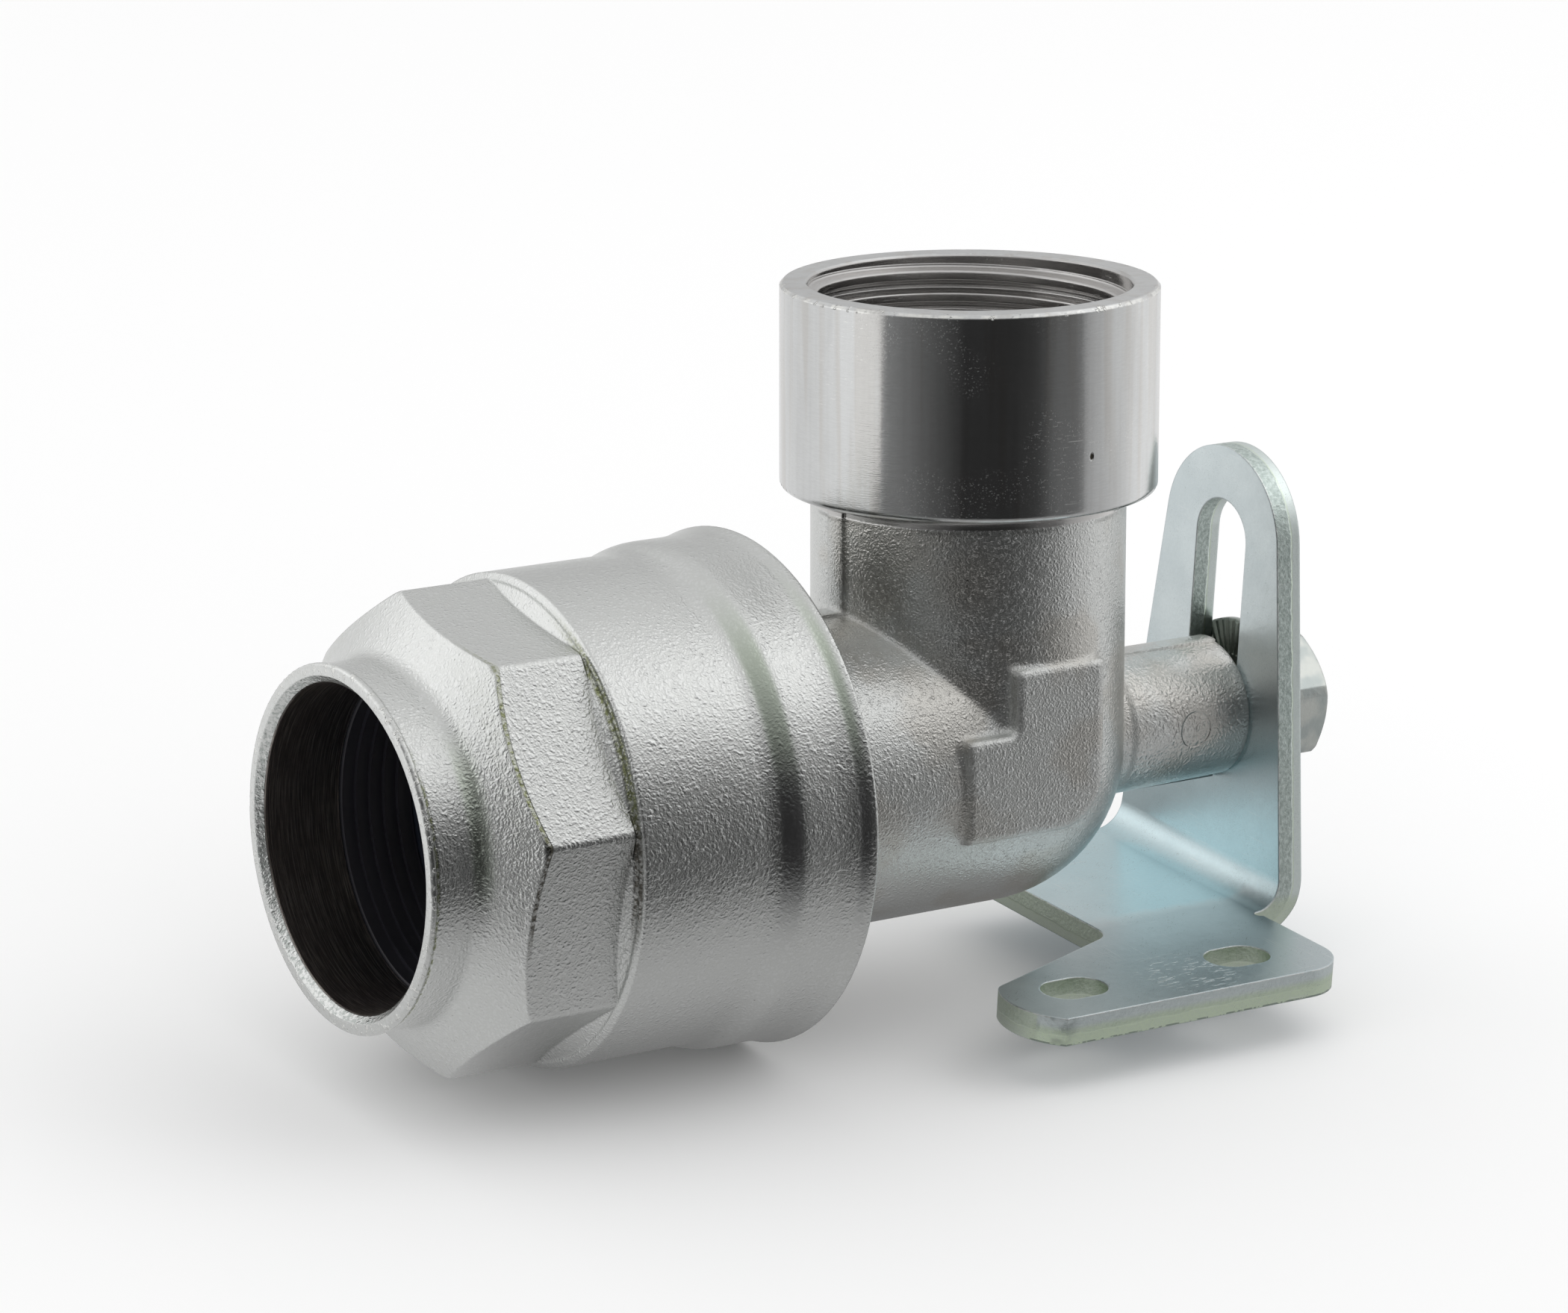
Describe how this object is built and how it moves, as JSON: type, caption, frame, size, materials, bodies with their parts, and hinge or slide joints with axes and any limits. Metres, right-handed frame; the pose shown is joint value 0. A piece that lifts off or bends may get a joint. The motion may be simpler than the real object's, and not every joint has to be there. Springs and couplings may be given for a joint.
{
  "type": "wall plate elbow",
  "caption": "Elbow compression fitting for plastic pipe with threaded outlet and clamping nut, on an adjustable angle bracket.",
  "frame": {"origin": "midway between the two screw slots, on the bracket's underside, which lies on the wall plate", "axes": "+Z away from the wall plate, along the bracket's upright; -X the way the pipe leaves; -Y the ear's side"},
  "size_m": [0.1173, 0.0574, 0.077],
  "materials": {
    "blasted_nickel": "shot-blasted brass forging, nickel plated",
    "black_acetal": "satin",
    "seal_rubber": "matte",
    "zinc_bolt": "zinc plated",
    "zinc_sheet": "bright zinc plate with a blue tint"
  },
  "bodies": {
    "bracket": {"wall_bracket": "zinc_sheet"},
    "bolt": {"flange_bolt": "zinc_bolt"},
    "fitting": {"elbow_body": "blasted_nickel", "pressure_ring": "black_acetal", "seal_ring": "seal_rubber"},
    "grip": {"grip_ring": "black_acetal"},
    "nut": {"clamp_nut": "blasted_nickel"}
  },
  "joints": [
    {"name": "height_slide", "type": "slide", "parent": "bracket", "child": "bolt", "axis": [0, 0, 1], "range_m": [0, 0.0187]},
    {"name": "elbow_swivel", "type": "hinge", "parent": "bolt", "child": "fitting", "pos_m": [-0.00825, 0.02415, 0.0213], "axis": [1, 0, 0], "range_deg": [-80, 80]},
    {"name": "nut_travel", "type": "slide", "parent": "fitting", "child": "grip", "axis": [-1, 0, 0], "range_m": [0, 0.0061]},
    {"name": "nut_turn", "type": "hinge", "parent": "grip", "child": "nut", "pos_m": [-0.05825, 0.02415, 0.0213], "axis": [-1, 0, 0], "range_deg": [0, 720]}
  ],
  "couplings": [
    {"joint": "nut_travel", "follows": "nut_turn", "m_per_rad": 0.00047746}
  ]
}
